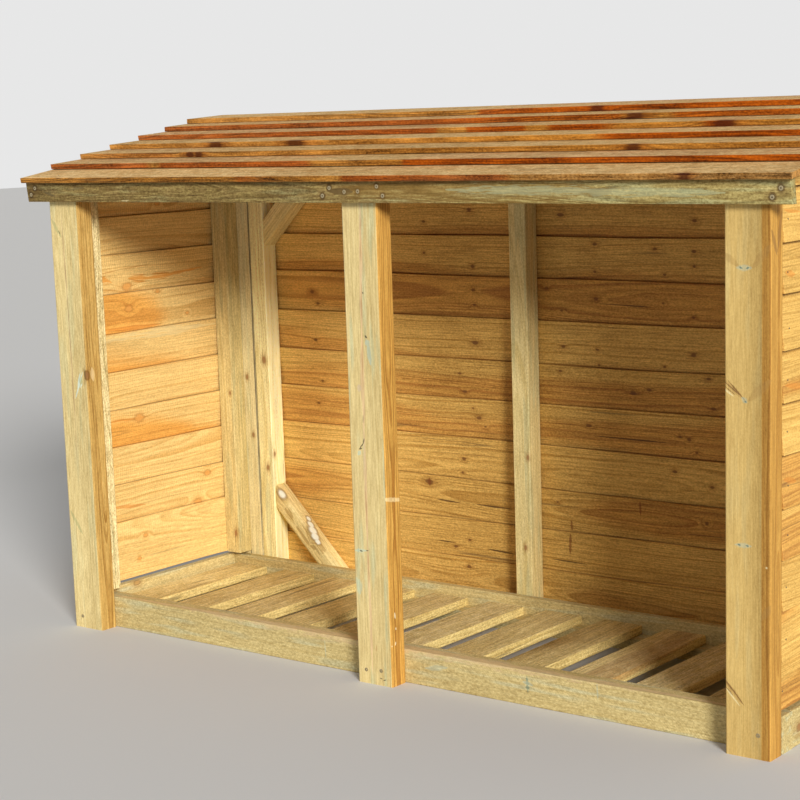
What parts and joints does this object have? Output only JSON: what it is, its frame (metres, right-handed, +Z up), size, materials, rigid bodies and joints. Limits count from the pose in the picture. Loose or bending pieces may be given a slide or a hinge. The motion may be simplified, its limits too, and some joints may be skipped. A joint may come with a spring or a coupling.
{
  "type": "log store",
  "caption": "Open-fronted timber log store with two bays, boarded sides and back, slatted floor and a single-pitch roof of lapped boards.",
  "frame": {"origin": "on the ground, in the middle of the roof's plan", "axes": "+X to the right seen from the open front, +Y towards the boarded back, +Z up"},
  "size_m": [2, 0.7094, 1.2234],
  "materials": {
    "post_timber": "rough",
    "frame_timber": "rough",
    "base_timber": "rough",
    "slat_timber": "rough",
    "wall_boards": "rough",
    "fascia_timber": "rough",
    "roof_boards": "rough"
  },
  "bodies": {
    "root": {"front_post_left": "post_timber", "front_post_middle": "post_timber", "front_post_right": "post_timber", "rear_post_left": "post_timber", "rear_post_right": "post_timber", "left_front_batten": "frame_timber", "left_rear_batten": "frame_timber", "right_front_batten": "frame_timber", "right_rear_batten": "frame_timber", "left_rafter": "frame_timber", "middle_rafter": "frame_timber", "right_rafter": "frame_timber", "back_bottom_rail": "frame_timber", "back_top_rail": "frame_timber", "back_stud_left": "frame_timber", "back_stud_middle": "frame_timber", "back_stud_right": "frame_timber", "top_brace_left": "frame_timber", "top_brace_right": "frame_timber", "bottom_brace_left": "frame_timber", "bottom_brace_right": "frame_timber", "base_front_rail": "base_timber", "base_left_rail": "base_timber", "base_right_rail": "base_timber", "base_back_rail": "base_timber", "floor_ledger_front": "base_timber", "floor_ledger_back": "base_timber", "floor_slats_left_bay": "slat_timber", "floor_slat_middle": "slat_timber", "floor_slats_right_bay": "slat_timber", "left_side_boards": "wall_boards", "right_side_boards": "wall_boards", "back_boards": "wall_boards", "fascia": "fascia_timber", "roof_board_1": "roof_boards", "roof_board_2": "roof_boards", "roof_board_3": "roof_boards", "roof_board_4": "roof_boards", "roof_board_5": "roof_boards", "roof_board_6": "roof_boards", "roof_board_7": "roof_boards"}
  },
  "joints": []
}
